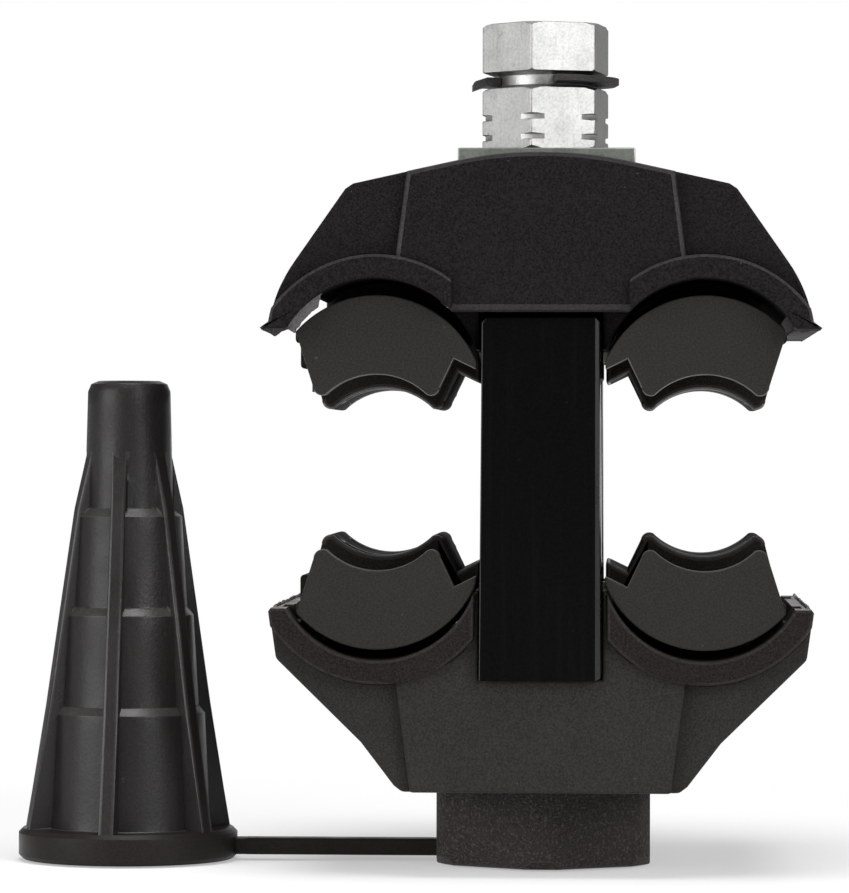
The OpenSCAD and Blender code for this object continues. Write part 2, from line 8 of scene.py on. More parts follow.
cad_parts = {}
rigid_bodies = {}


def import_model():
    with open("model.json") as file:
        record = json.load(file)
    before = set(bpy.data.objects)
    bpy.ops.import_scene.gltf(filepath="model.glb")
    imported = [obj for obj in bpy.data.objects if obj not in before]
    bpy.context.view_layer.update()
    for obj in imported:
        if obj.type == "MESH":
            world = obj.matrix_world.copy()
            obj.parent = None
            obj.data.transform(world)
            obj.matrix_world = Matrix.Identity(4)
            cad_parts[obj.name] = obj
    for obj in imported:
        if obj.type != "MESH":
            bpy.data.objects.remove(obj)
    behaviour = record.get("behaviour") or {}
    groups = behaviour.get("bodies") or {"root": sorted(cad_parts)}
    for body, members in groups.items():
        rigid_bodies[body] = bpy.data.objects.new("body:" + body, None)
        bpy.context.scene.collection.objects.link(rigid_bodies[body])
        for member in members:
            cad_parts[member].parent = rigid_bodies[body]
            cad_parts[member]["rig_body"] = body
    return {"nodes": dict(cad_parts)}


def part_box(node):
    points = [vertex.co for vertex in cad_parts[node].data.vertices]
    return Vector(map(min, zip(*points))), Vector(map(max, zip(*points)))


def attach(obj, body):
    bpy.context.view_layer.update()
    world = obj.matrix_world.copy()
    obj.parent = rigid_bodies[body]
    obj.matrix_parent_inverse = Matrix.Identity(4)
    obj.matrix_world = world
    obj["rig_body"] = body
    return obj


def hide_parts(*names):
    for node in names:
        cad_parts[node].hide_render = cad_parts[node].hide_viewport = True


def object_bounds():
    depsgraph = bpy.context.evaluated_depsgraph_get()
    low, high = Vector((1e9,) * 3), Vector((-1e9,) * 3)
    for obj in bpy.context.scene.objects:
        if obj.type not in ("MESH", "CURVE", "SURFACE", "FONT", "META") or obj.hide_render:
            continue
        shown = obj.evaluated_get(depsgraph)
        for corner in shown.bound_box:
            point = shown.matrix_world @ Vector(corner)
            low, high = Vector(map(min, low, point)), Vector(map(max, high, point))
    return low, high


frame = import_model()
cad_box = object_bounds()
scene = bpy.context.scene

# Sizes are in millimetres unless a comment says otherwise. The frame is in metres.
MM = 0.001

# Camera, fitted to points of the photograph, which is 849 x 893 pixels. Angles are in radians.
IMAGE_W = 849
FOCAL_PX = 4604.0
CAMERA_AT = Vector((10.07, -523.0, 46.8)) * MM
CAMERA_YAW = -0.0454
CAMERA_PITCH = 0.0002
CAMERA_ROLL = 0.0022

# Lights: place and diameter in metres, power in watts, and the point that they aim at.
LIGHTS = {
    "left": ((-0.58, -0.42, 0.19), 0.55, 3.3),
    "right": ((0.46, -0.52, 0.34), 0.5, 3.3),
    "top": ((0.0, -0.12, 0.66), 0.45, 3.6),
}
AIM = Vector((-0.012, 0.0, 0.045))
ROOM_LIGHT = 0.2

# Floor and backdrop, in metres. The floor goes white away from its centre.
FLOOR_REACH = 3.0
FLOOR_GAP = 0.0002
FLOOR_CENTRE_X = -0.015
BACKDROP_Y = 1.6
BACKDROP_HALF_X = 0.6
BACKDROP_TOP = 1.0
STAGE_GREY = (0.9, 0.9, 0.9, 1.0)

# Colours, linear, of the plastics and rubbers.
BODY_UPPER = (0.0058, 0.005, 0.0053)
BODY_LOWER = (0.0177, 0.0169, 0.0154)
COLLAR = (0.0085, 0.0069, 0.0065)
BOOT = (0.0178, 0.017, 0.0153)
GUIDE = (0.0018, 0.0018, 0.0018)
COVER = (0.0235, 0.0199, 0.0189)
CAP = (0.0082, 0.0074, 0.0069)
FLANGE = (0.0098, 0.0083, 0.0074)
DISC = (0.023, 0.0215, 0.0205)
PLASTIC_DUST = (0.09, 0.086, 0.082)
METAL_DIRT = (0.09, 0.088, 0.084)

# Rounding of a solid's copy. Points closer than WELD are joined, and faces that turn by less than
# PLANE_ANGLE. Edges over SHARP_ANGLE are rounded, by a HAIR where there is little room, and by CREASE_SHARE
# of the width in creases. A face is shaded flat if all its edges are sharp, or if it is larger than FLAT_AREA
# and at most BLEND_SHARE of its outline isn't. Angles are in degrees, the area is in square millimetres.
WELD = 0.002
PLANE_ANGLE = 0.4
SHARP_ANGLE = 28.0
HAIR = 0.06
CREASE_SHARE = 0.6
FLAT_AREA = 4.0
BLEND_SHARE = 0.3

# Angles, in degrees, over which edges are shaded sharp.
SHADE_ANGLE = 24.0
THREAD_SHADE = 35.0
DISC_SHADE = 40.0
FLASH_SHADE = 30.0

# Numbers of a piece's materials: its surface, its edges (paler, partly wear and partly a painted highlight),
# its creases and hollows (darker, as painted shade), and up to two of its own.
SURFACE, EDGE, CREASE, FIRST_OWN, SECOND_OWN = range(5)

# How close to a place an edge or face lies to count as there.
NEAR = 0.1
CLOSE = 0.05

# The upper half: the axes and radius of its cradles, the height of its outer lips, how far its collars stand
# out from its panel, and how far outside a cradle the outer arc of a collar starts.
CRADLE_X = 17.8
CRADLE_Z = 53.85
CRADLE_R = 11.2
UPPER_LIP = 59.55
COLLAR_STEP = 0.9
OUTER_ARC = 1.5

# Its panel: the height, least y and half width of its foot, the band of heights there that keeps its look,
# the height above which its outline is rounded, how far behind its face edges are still pale, and how far a
# face turns sideways to count as the panel's side.
FOOT_Z = 61.45
FOOT_Y = 25.0
FOOT_HALF_X = 9.7
FOOT_BAND = 1.0
PANEL_Z = 66.0
PALE_DEPTH = 1.15
SIDEWAYS = 0.12

# The flat seat of the washer: half its length along y, and a height just under it. Its low steps stay sharp.
SEAT_Y = 22.0
SEAT_Z = 78.0

# The lower half: height and start of its outer lips, the band of heights and the least upward turn that
# count as their top, which is painted lighter as painted light from above, how close a face lies to the
# collars' front to be on it, and how far behind that front edges are still pale.
LOWER_LIP = 29.35
LIP_X = 26.5
LIP_BAND = 0.3
FACES_UP = 0.8
ON_FACE = 0.02
LOWER_PALE_DEPTH = 0.85

# The guide's right edges lie beyond this.
GUIDE_RIGHT = 6.3

# The boots: depth of their ends, how far in their middle block starts, where the tabs of the left ones start
# from the middle, which are darkened as painted shade, and how far a face turns to the groove to count as on
# that side, where rims get a painted highlight.
BOOT_END = 2.6
BLOCK_IN = 0.5
TAB_X = 24.9
GROOVE_SIDE = 0.25

# The end cap: radius and top of its flange, a height above its last shoulder, and the least and most upward
# turn and the least outward turn of a shoulder, which is painted paler as a painted highlight.
CAP_FLANGE_R = 12.45
FLANGE_TOP = 3.55
SHOULDER_TOP = 41.0
LEAST_SLOPE = 0.35
MOST_SLOPE = 0.92
OUTWARD = 0.35

# The clamp bolt: its shaft, a little inside the solid, with a cone at its tip, its head and its thread.
SHAFT_R = 4.0
SHAFT_INSET = 0.01
SHAFT_TIP = 0.8
HEAD_HEIGHT = 5.3
HEAD_CHAMFER_R = 0.7
HEAD_CHAMFER_Z = 0.4
PITCH = 1.25
THREAD_DEPTH = 0.62
THREAD_FROM = 30.0
THREAD_RUN_OUT = 2.5
THREAD_STEEP = 1.3
THREAD_ROOT = 0.15

# The limit disc: its bore, where its lip starts, how ragged its rim is, coarsely and finely, how much its lip
# waves and thins, its span and the curl at the left. Angles are in degrees.
DISC_BORE_R = 5.3
DISC_LIP_R = 6.9
DISC_RAGGED = 0.12
DISC_RAGGED_FINE = 0.1
DISC_WAVE = 0.08
DISC_THIN = 0.1
DISC_START = -80.0
DISC_END = 199.0
CURL_AT = 184.0
CURL_SPAN = 22.0
CURL_DROP = 0.7

# Moulding flash on the lower lips: its height, half its length and how far in from the lip it stands.
FLASH_RISE = 0.3
FLASH_HALF_Y = 21.6
FLASH_IN = 0.2

# Node: look, material slot, width of the rounded edges.
LOOKS = {
    "shear_nut": ("nut", "nut_alloy", 0.12),
    "square_washer": ("zinc", "zinc_steel", 0.15),
    "blade_upper_front": ("blade", "blade", 0.05),
    "blade_upper_rear": ("blade", "blade", 0.05),
    "blade_lower_front": ("blade", "blade", 0.05),
    "blade_lower_rear": ("blade", "blade", 0.05),
    "bolt_cover": ("cover", "cover", 0.6),
}


def add_camera():
    data = bpy.data.cameras.new("camera")
    data.sensor_fit = "HORIZONTAL"
    data.sensor_width = 36.0
    data.lens = FOCAL_PX / IMAGE_W * data.sensor_width
    data.clip_start = 0.01
    data.clip_end = 50.0
    camera = bpy.data.objects.new("camera", data)
    scene.collection.objects.link(camera)
    ahead = Vector((
        math.sin(CAMERA_YAW) * math.cos(CAMERA_PITCH),
        math.cos(CAMERA_YAW) * math.cos(CAMERA_PITCH),
        math.sin(CAMERA_PITCH),
    ))
    level = Vector((math.cos(CAMERA_YAW), -math.sin(CAMERA_YAW), 0.0))
    upright = level.cross(ahead)
    right = math.cos(CAMERA_ROLL) * level + math.sin(CAMERA_ROLL) * upright
    up = right.cross(ahead)
    turn = Matrix((right, up, -ahead)).transposed().to_4x4()
    camera.matrix_world = Matrix.Translation(CAMERA_AT) @ turn
    scene.camera = camera


# Node graphs.
def put(tree, kind, settings=None, **inputs):
    """Adds a shader node. Inputs are values or sockets; i0 is the first input and _ stands for a space."""
    made = tree.nodes.new(kind)
    for key, value in (settings or {}).items():
        setattr(made, key, value)
    for key, value in inputs.items():
        numbered = key[0] == "i" and key[1:].isdigit()
        socket = made.inputs[int(key[1:])] if numbered else made.inputs[key.replace("_", " ")]
        if isinstance(value, bpy.types.NodeSocket):
            tree.links.new(value, socket)
        else:
            socket.default_value = value
    return made


def new_material(name):
    material = bpy.data.materials.new(name)
    material.use_nodes = True
    material.node_tree.nodes.clear()
    return material, material.node_tree


def ramp(tree, factor, stops):
    """A colour ramp; stops are (position, grey)."""
    made = put(tree, "ShaderNodeValToRGB", Fac=factor)
    elements = made.color_ramp.elements
    for element, (position, grey) in zip(elements, stops):
        element.position = position
        element.color = (grey, grey, grey, 1.0)
    return made.outputs["Color"]


def pattern(tree, where, scale, detail, rough):
    """Noise; scale is in cells per metre."""
    made = put(tree, "ShaderNodeTexNoise", Vector=where, Scale=scale, Detail=detail, Roughness=rough)
    return made.outputs["Fac"]


def mix(tree, factor, a, b):
    """A mix of two colours, or of two greys given as sockets."""
    made = tree.nodes.new("ShaderNodeMix")
    made.data_type = "RGBA"
    for number, value in ((0, factor), (6, a), (7, b)):
        socket = made.inputs[number]
        if isinstance(value, bpy.types.NodeSocket):
            tree.links.new(value, socket)
        else:
            socket.default_value = value if number == 0 else (*value, 1.0)
    return made.outputs[2]


def times(colour, factor, extra=0.0):
    return tuple(min(1.0, c * factor + extra) for c in colour)


def stretched(tree, where, along_z):
    return put(tree, "ShaderNodeMapping", Vector=where, Scale=(1.0, 1.0, along_z)).outputs["Vector"]


def close_shader(tree, height, strength, depth, invert=False, **inputs):
    """Ends a material with a bump, its depth in millimetres, and the surface shader."""
    bump = put(
        tree, "ShaderNodeBump", {"invert": invert}, Strength=strength, Distance=depth * MM, Height=height,
    )
    shader = put(tree, "ShaderNodeBsdfPrincipled", Normal=bump.outputs["Normal"], **inputs)
    put(tree, "ShaderNodeOutputMaterial", Surface=shader.outputs["BSDF"])


def moulded(name, colour, grain, depth, rough, wear_and_highlight=0.2, streak=0.0, level=0.1, speckle=0.5):
    """Moulded plastic or rubber: mottled colour, grain bump, pale dust and pale spots, which are wear on
    surfaces and partly a painted highlight in edge materials.
    """
    material, tree = new_material(name)
    where = put(tree, "ShaderNodeTexCoord").outputs["Object"]
    cloud = pattern(tree, where, 55.0, 4.0, 0.6)
    base = mix(tree, cloud, times(colour, 0.85), times(colour, 1.15))
    pale = times(colour, 2.2, 0.008)
    wear_and_highlight_spots = ramp(tree, pattern(tree, where, 230.0, 6.0, 0.72), [(0.52, 0.0), (0.8, wear_and_highlight)])
    base = mix(tree, wear_and_highlight_spots, base, pale)
    flecks = ramp(tree, pattern(tree, where, 4600.0, 1.0, 0.5), [(0.3, 0.0), (0.7, speckle)])
    base = mix(tree, flecks, base, times(colour, 2.6, 0.006))
    dust = ramp(tree, pattern(tree, where, 1500.0, 1.0, 0.5), [(0.79, 0.0), (0.83, 0.3 + wear_and_highlight)])
    base = mix(tree, dust, base, PLASTIC_DUST)
    if streak:
        drawn = pattern(tree, stretched(tree, where, 0.03), 900.0, 3.0, 0.7)
        base = mix(tree, ramp(tree, drawn, [(0.5, 0.0), (0.75, streak)]), base, pale)
    fine = pattern(tree, where, grain, 3.0, 0.6)
    gloss = ramp(tree, pattern(tree, where, 140.0, 3.0, 0.6), [(0.3, rough - 0.07), (0.7, rough + 0.09)])
    close_shader(tree, fine, 0.7, depth, Base_Color=base, Roughness=gloss, Specular_IOR_Level=level)
    return material


def leather(name, colour):
    """Leather grain of the bolt cover: small raised pebbles with pale rims and fine pale flecks, both painted
    highlights of the grain.
    """
    material, tree = new_material(name)
    where = put(tree, "ShaderNodeTexCoord").outputs["Object"]
    bend = put(tree, "ShaderNodeTexNoise", Vector=where, Scale=700.0, Detail=2.0).outputs["Color"]
    warp = (0.7 * MM,) * 3
    warped = put(tree, "ShaderNodeVectorMath", {"operation": "MULTIPLY_ADD"}, i0=bend, i1=warp, i2=where)
    cells = put(
        tree, "ShaderNodeTexVoronoi", {"feature": "DISTANCE_TO_EDGE"},
        Vector=warped.outputs["Vector"], Scale=2400.0,
    ).outputs["Distance"]
    pebbles = ramp(tree, cells, [(0.0, 0.0), (0.28, 1.0)])
    cloud = pattern(tree, where, 70.0, 3.0, 0.6)
    base = mix(tree, cloud, times(colour, 0.8), colour)
    # Pale rims of the pebbles and pale flecks: painted highlights of the grain.
    base = mix(tree, ramp(tree, cells, [(0.0, 0.3), (0.16, 0.0)]), base, times(colour, 2.2, 0.01))
    flecks = ramp(tree, pattern(tree, where, 3300.0, 2.0, 0.6), [(0.53, 0.0), (0.68, 0.9)])
    base = mix(tree, flecks, base, times(colour, 2.6, 0.012))
    grain = mix(tree, 0.35, pebbles, pattern(tree, where, 2600.0, 3.0, 0.6))
    gloss = ramp(tree, cloud, [(0.3, 0.42), (0.7, 0.56)])
    close_shader(tree, grain, 0.8, 0.1, True, Base_Color=base, Roughness=gloss, Specular_IOR_Level=0.15)
    return material


def metal(name, colour, stain, rough, specks):
    """Plated or extruded metal with clouded stains, drawn lines, a fine sparkle and dark specks."""
    material, tree = new_material(name)
    where = put(tree, "ShaderNodeTexCoord").outputs["Object"]
    cloud = pattern(tree, where, 300.0, 5.0, 0.65)
    base = mix(tree, ramp(tree, cloud, [(0.35, 0.0), (0.7, 1.0)]), stain, colour)
    lines = pattern(tree, stretched(tree, where, 0.06), 2600.0, 2.0, 0.6)
    base = mix(tree, ramp(tree, lines, [(0.5, 0.0), (0.8, 0.15)]), base, times(colour, 0.5))
    sparkle = pattern(tree, where, 3800.0, 1.0, 0.5)
    base = mix(tree, ramp(tree, sparkle, [(0.3, 0.35), (0.6, 0.0)]), base, times(colour, 0.45))
    dirt = ramp(tree, pattern(tree, where, 1300.0, 4.0, 0.75), [(0.57, 0.0), (0.72, specks)])
    base = mix(tree, dirt, base, METAL_DIRT)
    gloss = ramp(tree, cloud, [(0.3, rough - 0.06), (0.7, rough + 0.12)])
    close_shader(tree, lines, 0.4, 0.03, Base_Color=base, Metallic=1.0, Roughness=gloss)
    return material


def make_materials():
    """For each look its surface, its paler edges (wear and painted highlight) and its creases in painted
    shade, and those of single features.
    """
    # The edge materials of the plastics and rubbers are paler than the faces they border: partly wear, partly
    # a painted highlight.
    made = {
        "upper": moulded(
            "upper_plastic", BODY_UPPER, grain=2600.0, depth=0.06, rough=0.5, level=0.03, speckle=0.7,
        ),
        "upper_edge": moulded(
            "upper_edge", times(BODY_UPPER, 2.0, 0.006),
            grain=2600.0, depth=0.04, rough=0.44, wear_and_highlight=0.5, level=0.08,
        ),
        # Paler still, for the upper panel's sideways edges: partly wear, partly a painted highlight.
        "upper_rib_wear_and_highlight": moulded(
            "upper_rib_wear_and_highlight", times(BODY_UPPER, 2.0, 0.009),
            grain=2600.0, depth=0.04, rough=0.44, wear_and_highlight=1.0, level=0.08,
        ),
        # Left lip flash: moulding flash painted pale as a painted glint.
        "flash": moulded(
            "flash", times(BODY_UPPER, 3.0, 0.04), grain=1600.0, depth=0.06, rough=0.42, wear_and_highlight=0.7, level=0.2,
        ),
        "lower": moulded(
            "lower_plastic", BODY_LOWER, grain=2300.0, depth=0.06, rough=0.5, level=0.04, speckle=0.42,
        ),
        "lower_edge": moulded(
            "lower_edge", times(COLLAR, 1.4, 0.003),
            grain=2300.0, depth=0.04, rough=0.46, wear_and_highlight=0.7, level=0.06,
        ),
        # Tops of the lower outer lips and the flash on them, painted much lighter: painted light from above.
        "lip_top_painted_light": moulded(
            "lip_top_painted_light", times(BODY_LOWER, 3.0, 0.05),
            grain=1600.0, depth=0.09, rough=0.42, wear_and_highlight=0.9, level=0.3,
        ),
        "lower_collar": moulded(
            "lower_collar", COLLAR, grain=2600.0, depth=0.06, rough=0.52, level=0.03, speckle=0.7,
        ),
        "boot": moulded(
            "boot_rubber", BOOT, grain=3300.0, depth=0.02, rough=0.48, wear_and_highlight=0.05, level=0.055, speckle=0.3,
        ),
        # Rims of the upper boots that face the groove, painted bright: a painted highlight.
        "boot_edge": moulded(
            "boot_edge", times(BOOT, 2.5, 0.04),
            grain=3300.0, depth=0.02, rough=0.36, wear_and_highlight=0.3, level=0.4, speckle=0.2,
        ),
        # Rims of the lower boots that face the groove, painted paler: a painted highlight.
        "boot_rim_painted_highlight": moulded(
            "boot_rim_painted_highlight", times(BOOT, 1.6, 0.012),
            grain=3300.0, depth=0.02, rough=0.4, wear_and_highlight=0.2, level=0.15, speckle=0.2,
        ),
        "guide": moulded(
            "guide_plastic", GUIDE,
            grain=3600.0, depth=0.005, rough=0.2, wear_and_highlight=0.02, streak=0.12, level=0.03, speckle=0.2,
        ),
        "guide_edge": moulded(
            "guide_edge", times(GUIDE, 1.5, 0.001),
            grain=3600.0, depth=0.006, rough=0.3, wear_and_highlight=0.1, streak=0.3, level=0.3,
        ),
        "cover": leather("cover_grain", COVER),
        "cover_edge": moulded("cover_edge", times(COVER, 1.4, 0.004), grain=1500.0, depth=0.05, rough=0.48),
        "cap": moulded(
            "cap_rubber", CAP, grain=2300.0, depth=0.04, rough=0.36, wear_and_highlight=0.15, level=0.3, speckle=0.35,
        ),
        # Shoulders of the cap, painted paler: a painted highlight.
        "cap_shoulder_painted_highlight": moulded(
            "cap_shoulder_painted_highlight", times(CAP, 1.8, 0.005),
            grain=2300.0, depth=0.03, rough=0.36, wear_and_highlight=0.5, level=0.35,
        ),
        "cap_flange": moulded(
            "cap_flange", FLANGE, grain=1700.0, depth=0.03, rough=0.42, wear_and_highlight=0.2, level=0.12, speckle=0.3,
        ),
        "cap_edge": moulded(
            "cap_edge", times(CAP, 1.5, 0.003),
            grain=2300.0, depth=0.04, rough=0.34, wear_and_highlight=0.3, level=0.4, speckle=0.35,
        ),
        "disc": moulded("disc_plastic", DISC, grain=2000.0, depth=0.06, rough=0.5, wear_and_highlight=0.5, speckle=0.8),
        "nut": metal("nut_alloy", (0.5, 0.502, 0.49), stain=(0.42, 0.425, 0.415), rough=0.4, specks=0.3),
        "nut_edge": metal("nut_edge", (0.4, 0.38, 0.37), stain=(0.32, 0.3, 0.29), rough=0.36, specks=0.4),
        "zinc": metal("zinc_plate", (0.31, 0.33, 0.3), stain=(0.22, 0.24, 0.21), rough=0.45, specks=0.5),
        "zinc_edge": metal(
            "zinc_edge", (0.43, 0.44, 0.41), stain=(0.33, 0.34, 0.31), rough=0.38, specks=0.2,
        ),
        "blade": metal("tinned_copper", (0.6, 0.58, 0.54), stain=(0.48, 0.45, 0.4), rough=0.3, specks=0.2),
        "blade_edge": metal(
            "tinned_edge", (0.68, 0.66, 0.62), stain=(0.53, 0.5, 0.46), rough=0.28, specks=0.1,
        ),
    }
    # Darker copies of these looks for their creases and hollows: painted shade.
    for look, colour in (
        ("upper", BODY_UPPER), ("lower", BODY_LOWER), ("boot", BOOT), ("guide", GUIDE), ("cover", COVER),
    ):
        made[look + "_painted_shade"] = moulded(
            look + "_painted_shade", times(colour, 0.4), grain=2300.0, depth=0.03, rough=0.6, wear_and_highlight=0.05, level=0.03,
        )
    # These looks take no painted shade: their shade slot holds their surface material.
    for look in ("cap", "nut", "zinc", "blade"):
        made[look + "_painted_shade"] = made[look]
    return made


# Pieces.
def add_piece(name, mesh, materials, body, replaced=None):
    for material in materials:
        mesh.materials.append(material)
    piece = bpy.data.objects.new(name, mesh)
    scene.collection.objects.link(piece)
    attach(piece, body)
    if replaced:
        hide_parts(replaced)


def mark_sharp(work, angle):
    """Smooth shading, apart from edges sharper than the angle and faces marked in the flat layer."""
    flat = work.faces.layers.int.get("flat")
    for face in work.faces:
        face.smooth = not (flat and face[flat])
    for edge in work.edges:
        if len(edge.link_faces) == 2 and edge.calc_face_angle(0.0) > math.radians(angle):
            edge.smooth = False


def mark_flat(work, sharp):
    """A layer that marks the faces with sharp edges all around, or nearly so if they are large."""
    flat = work.faces.layers.int.new("flat")
    for face in work.faces:
        around = sum(edge.calc_length() for edge in face.edges)
        blended = sum(edge.calc_length() for edge in face.edges if edge not in sharp)
        share = BLEND_SHARE if face.calc_area() > FLAT_AREA * MM * MM else 0.0
        face[flat] = blended <= share * around
    return flat


def room_for(edge):
    """A little under half the narrower of the two faces at an edge, measured across the edge."""
    length = max(edge.calc_length(), 1e-7)
    return 0.45 * min(face.calc_area() for face in edge.link_faces) / length


def soften(work, edges, width, steps, index):
    """Rounds edges that have room for it, and takes only a hair off the others."""
    wide = [e for e in edges if room_for(e) >= width]
    narrow = [e for e in edges if HAIR * MM <= room_for(e) < width]
    for group, offset in ((wide, width), (narrow, HAIR * MM)):
        group = [e for e in group if e.is_valid]
        if group:
            bmesh.ops.bevel(
                work, geom=group, offset=offset, offset_type="OFFSET", segments=steps, profile=0.6,
                affect="EDGES", clamp_overlap=False, material=index,
            )


def refine(node, made, look, width, steps=2, wide=None, paint=None, extra=None):
    """Stands for a solid by a copy with rounded edges: paler on the outside, partly as wear and partly as a
    painted highlight, and darker in the creases as painted shade.

    wide is a list of (test of an edge's middle, width) for edges rounded on their own, or left sharp by a
    width of 0. paint gives the number of a face's material by its middle, normal and number so far, or None
    to leave it; extra materials come after the first three.
    """
    mesh = bpy.data.meshes.new(node + "_fine")
    work = bmesh.new()
    work.from_mesh(frame["nodes"][node].data)
    bmesh.ops.remove_doubles(work, verts=work.verts, dist=WELD * MM)
    bmesh.ops.dissolve_limit(
        work, angle_limit=math.radians(PLANE_ANGLE), verts=work.verts, edges=work.edges,
    )
    for face in work.faces:
        face.material_index = SURFACE
    limit = math.radians(SHARP_ANGLE)
    sharp = [e for e in work.edges if len(e.link_faces) == 2 and e.calc_face_angle(0.0) > limit]
    flat = mark_flat(work, set(sharp))
    groups = {}
    for edge in sharp:
        middle = (edge.verts[0].co + edge.verts[1].co) / 2 / MM
        size = next((w for test, w in wide or () if test(middle)), width)
        if not size:
            continue
        if not edge.is_convex:
            size = CREASE_SHARE * size
        groups.setdefault((edge.is_convex, size), []).append(edge)
    # Convex edges take the paler edge material (partly wear, partly a painted highlight), creases the painted
    # shade.
    for (convex, size), edges in sorted(groups.items(), key=lambda item: -item[0][1]):
        soften(work, [e for e in edges if e.is_valid], size * MM, steps, EDGE if convex else CREASE)
    for face in work.faces:
        face[flat] = face[flat] and face.material_index == SURFACE
    if paint:
        for face in work.faces:
            index = paint(face.calc_center_median() / MM, face.normal, face.material_index)
            if index is not None:
                face.material_index = index
    bmesh.ops.triangulate(work, faces=[f for f in work.faces if len(f.verts) > 4])
    mark_sharp(work, SHADE_ANGLE)
    work.faces.layers.int.remove(flat)
    work.to_mesh(mesh)
    work.free()
    body = frame["nodes"][node]["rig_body"]
    looks = [made[look], made[look + "_edge"], made[look + "_painted_shade"]] + (extra or [])
    add_piece(node + "_fine", mesh, looks, body, node)


def closed_grid(rows):
    """Vertices in metres and faces of a tube through rings of equally many points, closed at both ends."""
    count = len(rows[0])
    vertices = [(x * MM, y * MM, z * MM) for row in rows for x, y, z in row]
    faces = []
    for j in range(len(rows) - 1):
        for i in range(count):
            k = (i + 1) % count
            faces.append((j * count + i, j * count + k, (j + 1) * count + k, (j + 1) * count + i))
    last = (len(rows) - 1) * count
    faces.append(tuple(range(count - 1, -1, -1)))
    faces.append(tuple(range(last, last + count)))
    return vertices, faces


def add_mesh_piece(name, vertices, faces, angle, material, body, slot, replaced=None):
    mesh = bpy.data.meshes.new(name)
    mesh.from_pydata(vertices, [], faces)
    work = bmesh.new()
    work.from_mesh(mesh)
    bmesh.ops.recalc_face_normals(work, faces=work.faces)
    mark_sharp(work, angle)
    work.to_mesh(mesh)
    work.free()
    add_piece(name, mesh, [material], body, replaced)


def smooth_step(low, high, value):
    t = min(1.0, max(0.0, (value - low) / (high - low)))
    return t * t * (3.0 - 2.0 * t)


def add_bolt(made):
    """The clamp bolt with its rolled thread and its hexagon head."""
    low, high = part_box("clamp_bolt")
    top = high[2] / MM
    head_low = low[2] / MM
    head_high = head_low + HEAD_HEIGHT
    head_r = (high[0] - low[0]) / 2 / MM
    columns = 40
    rows_per_turn = 8
    count = int((top - head_high) / (PITCH / rows_per_turn))
    rows = []
    for j in range(count + 1):
        z = head_high + (top - head_high) * j / count
        fade = smooth_step(THREAD_FROM, THREAD_FROM + THREAD_RUN_OUT, z)
        tip = max(0.0, z - (top - SHAFT_TIP))
        row = []
        for i in range(columns):
            turn = 2 * math.pi * i / columns
            phase = (z / PITCH - i / columns) % 1.0
            slope = THREAD_STEEP * (1.0 - abs(2.0 * phase - 1.0)) - THREAD_ROOT
            ridge = min(1.0, max(0.0, slope))
            r = SHAFT_R - SHAFT_INSET - fade * THREAD_DEPTH * (1.0 - ridge) - tip
            row.append((r * math.cos(turn), r * math.sin(turn), z))
        rows.append(row)
    vertices, faces = closed_grid(rows)
    corners = [math.radians(60 * i + 30) for i in range(6)]
    rings = (
        (head_low, head_r - HEAD_CHAMFER_R), (head_low + HEAD_CHAMFER_Z, head_r), (head_high, head_r),
    )
    head_rows = [[(r * math.cos(a), r * math.sin(a), z) for a in corners] for z, r in rings]
    head_vertices, head_faces = closed_grid(head_rows)
    shift = len(vertices)
    faces += [tuple(v + shift for v in face) for face in head_faces]
    add_mesh_piece(
        "clamp_bolt_fine", vertices + head_vertices, faces, THREAD_SHADE,
        made["zinc"], "lower", "zinc_steel", "clamp_bolt",
    )


def add_disc(made):
    """The thin split disc, wavy, with a ragged lip that curls down at the left."""
    low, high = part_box("limit_disc")
    outer_r = high[0] / MM
    middle = (low[2] + high[2]) / 2 / MM
    half = (high[2] - low[2]) / 2 / MM
    count = 110
    rows = []
    for j in range(count + 1):
        angle = DISC_START + (DISC_END - DISC_START) * j / count
        turn = math.radians(angle)
        rough = noise.noise(Vector((math.cos(turn) * 3.1, math.sin(turn) * 3.1, 4.7)))
        fine = noise.noise(Vector((math.cos(turn) * 17.0, math.sin(turn) * 17.0, 1.3)))
        reach = outer_r - DISC_RAGGED - DISC_RAGGED * abs(rough) - DISC_RAGGED_FINE * abs(fine)
        curl = CURL_DROP * max(0.0, 1.0 - ((angle - CURL_AT) / CURL_SPAN) ** 2)
        wave = DISC_WAVE * rough
        outward = [(r, -1) for r in (DISC_BORE_R, DISC_LIP_R, reach)]
        inward = [(r, 1) for r in (reach, DISC_LIP_R, DISC_BORE_R)]
        row = []
        for r, side in outward + inward:
            out = smooth_step(DISC_LIP_R, reach, r)
            z = middle + side * (half - DISC_THIN * out) + out * (wave - curl)
            row.append((r * math.cos(turn), r * math.sin(turn), z))
        rows.append(row)
    add_mesh_piece(
        "limit_disc_fine", *closed_grid(rows), DISC_SHADE, made["disc"], "nut", "disc", "limit_disc",
    )


def add_fringe(name, material, front, along, drops):
    """A ragged fin of flash under an upper lip; along is its span in x, drops its depths at equal steps."""
    count = 48
    sunk = 0.25
    least_drop = 0.06
    root_y = front + 0.1
    tip_y = front + 0.14
    thick = 0.5
    foot = 0.9
    rows = []
    for j in range(count + 1):
        t = j / count
        x = along[0] + (along[1] - along[0]) * t
        k = min(int(t * (len(drops) - 1)), len(drops) - 2)
        f = t * (len(drops) - 1) - k
        fine = noise.noise(Vector((x * 2.3, UPPER_LIP, 7.7)))
        drop = max(least_drop, drops[k] * (1 - f) + drops[k + 1] * f + 0.12 * fine)
        back = front + (thick + 0.2 * fine)
        root = UPPER_LIP + sunk
        tip = UPPER_LIP - drop
        rows.append([(x, root_y, root), (x, tip_y, tip), (x, back, tip), (x, back + foot, root)])
    add_mesh_piece(name, *closed_grid(rows), FLASH_SHADE, material, "upper", "body_upper")


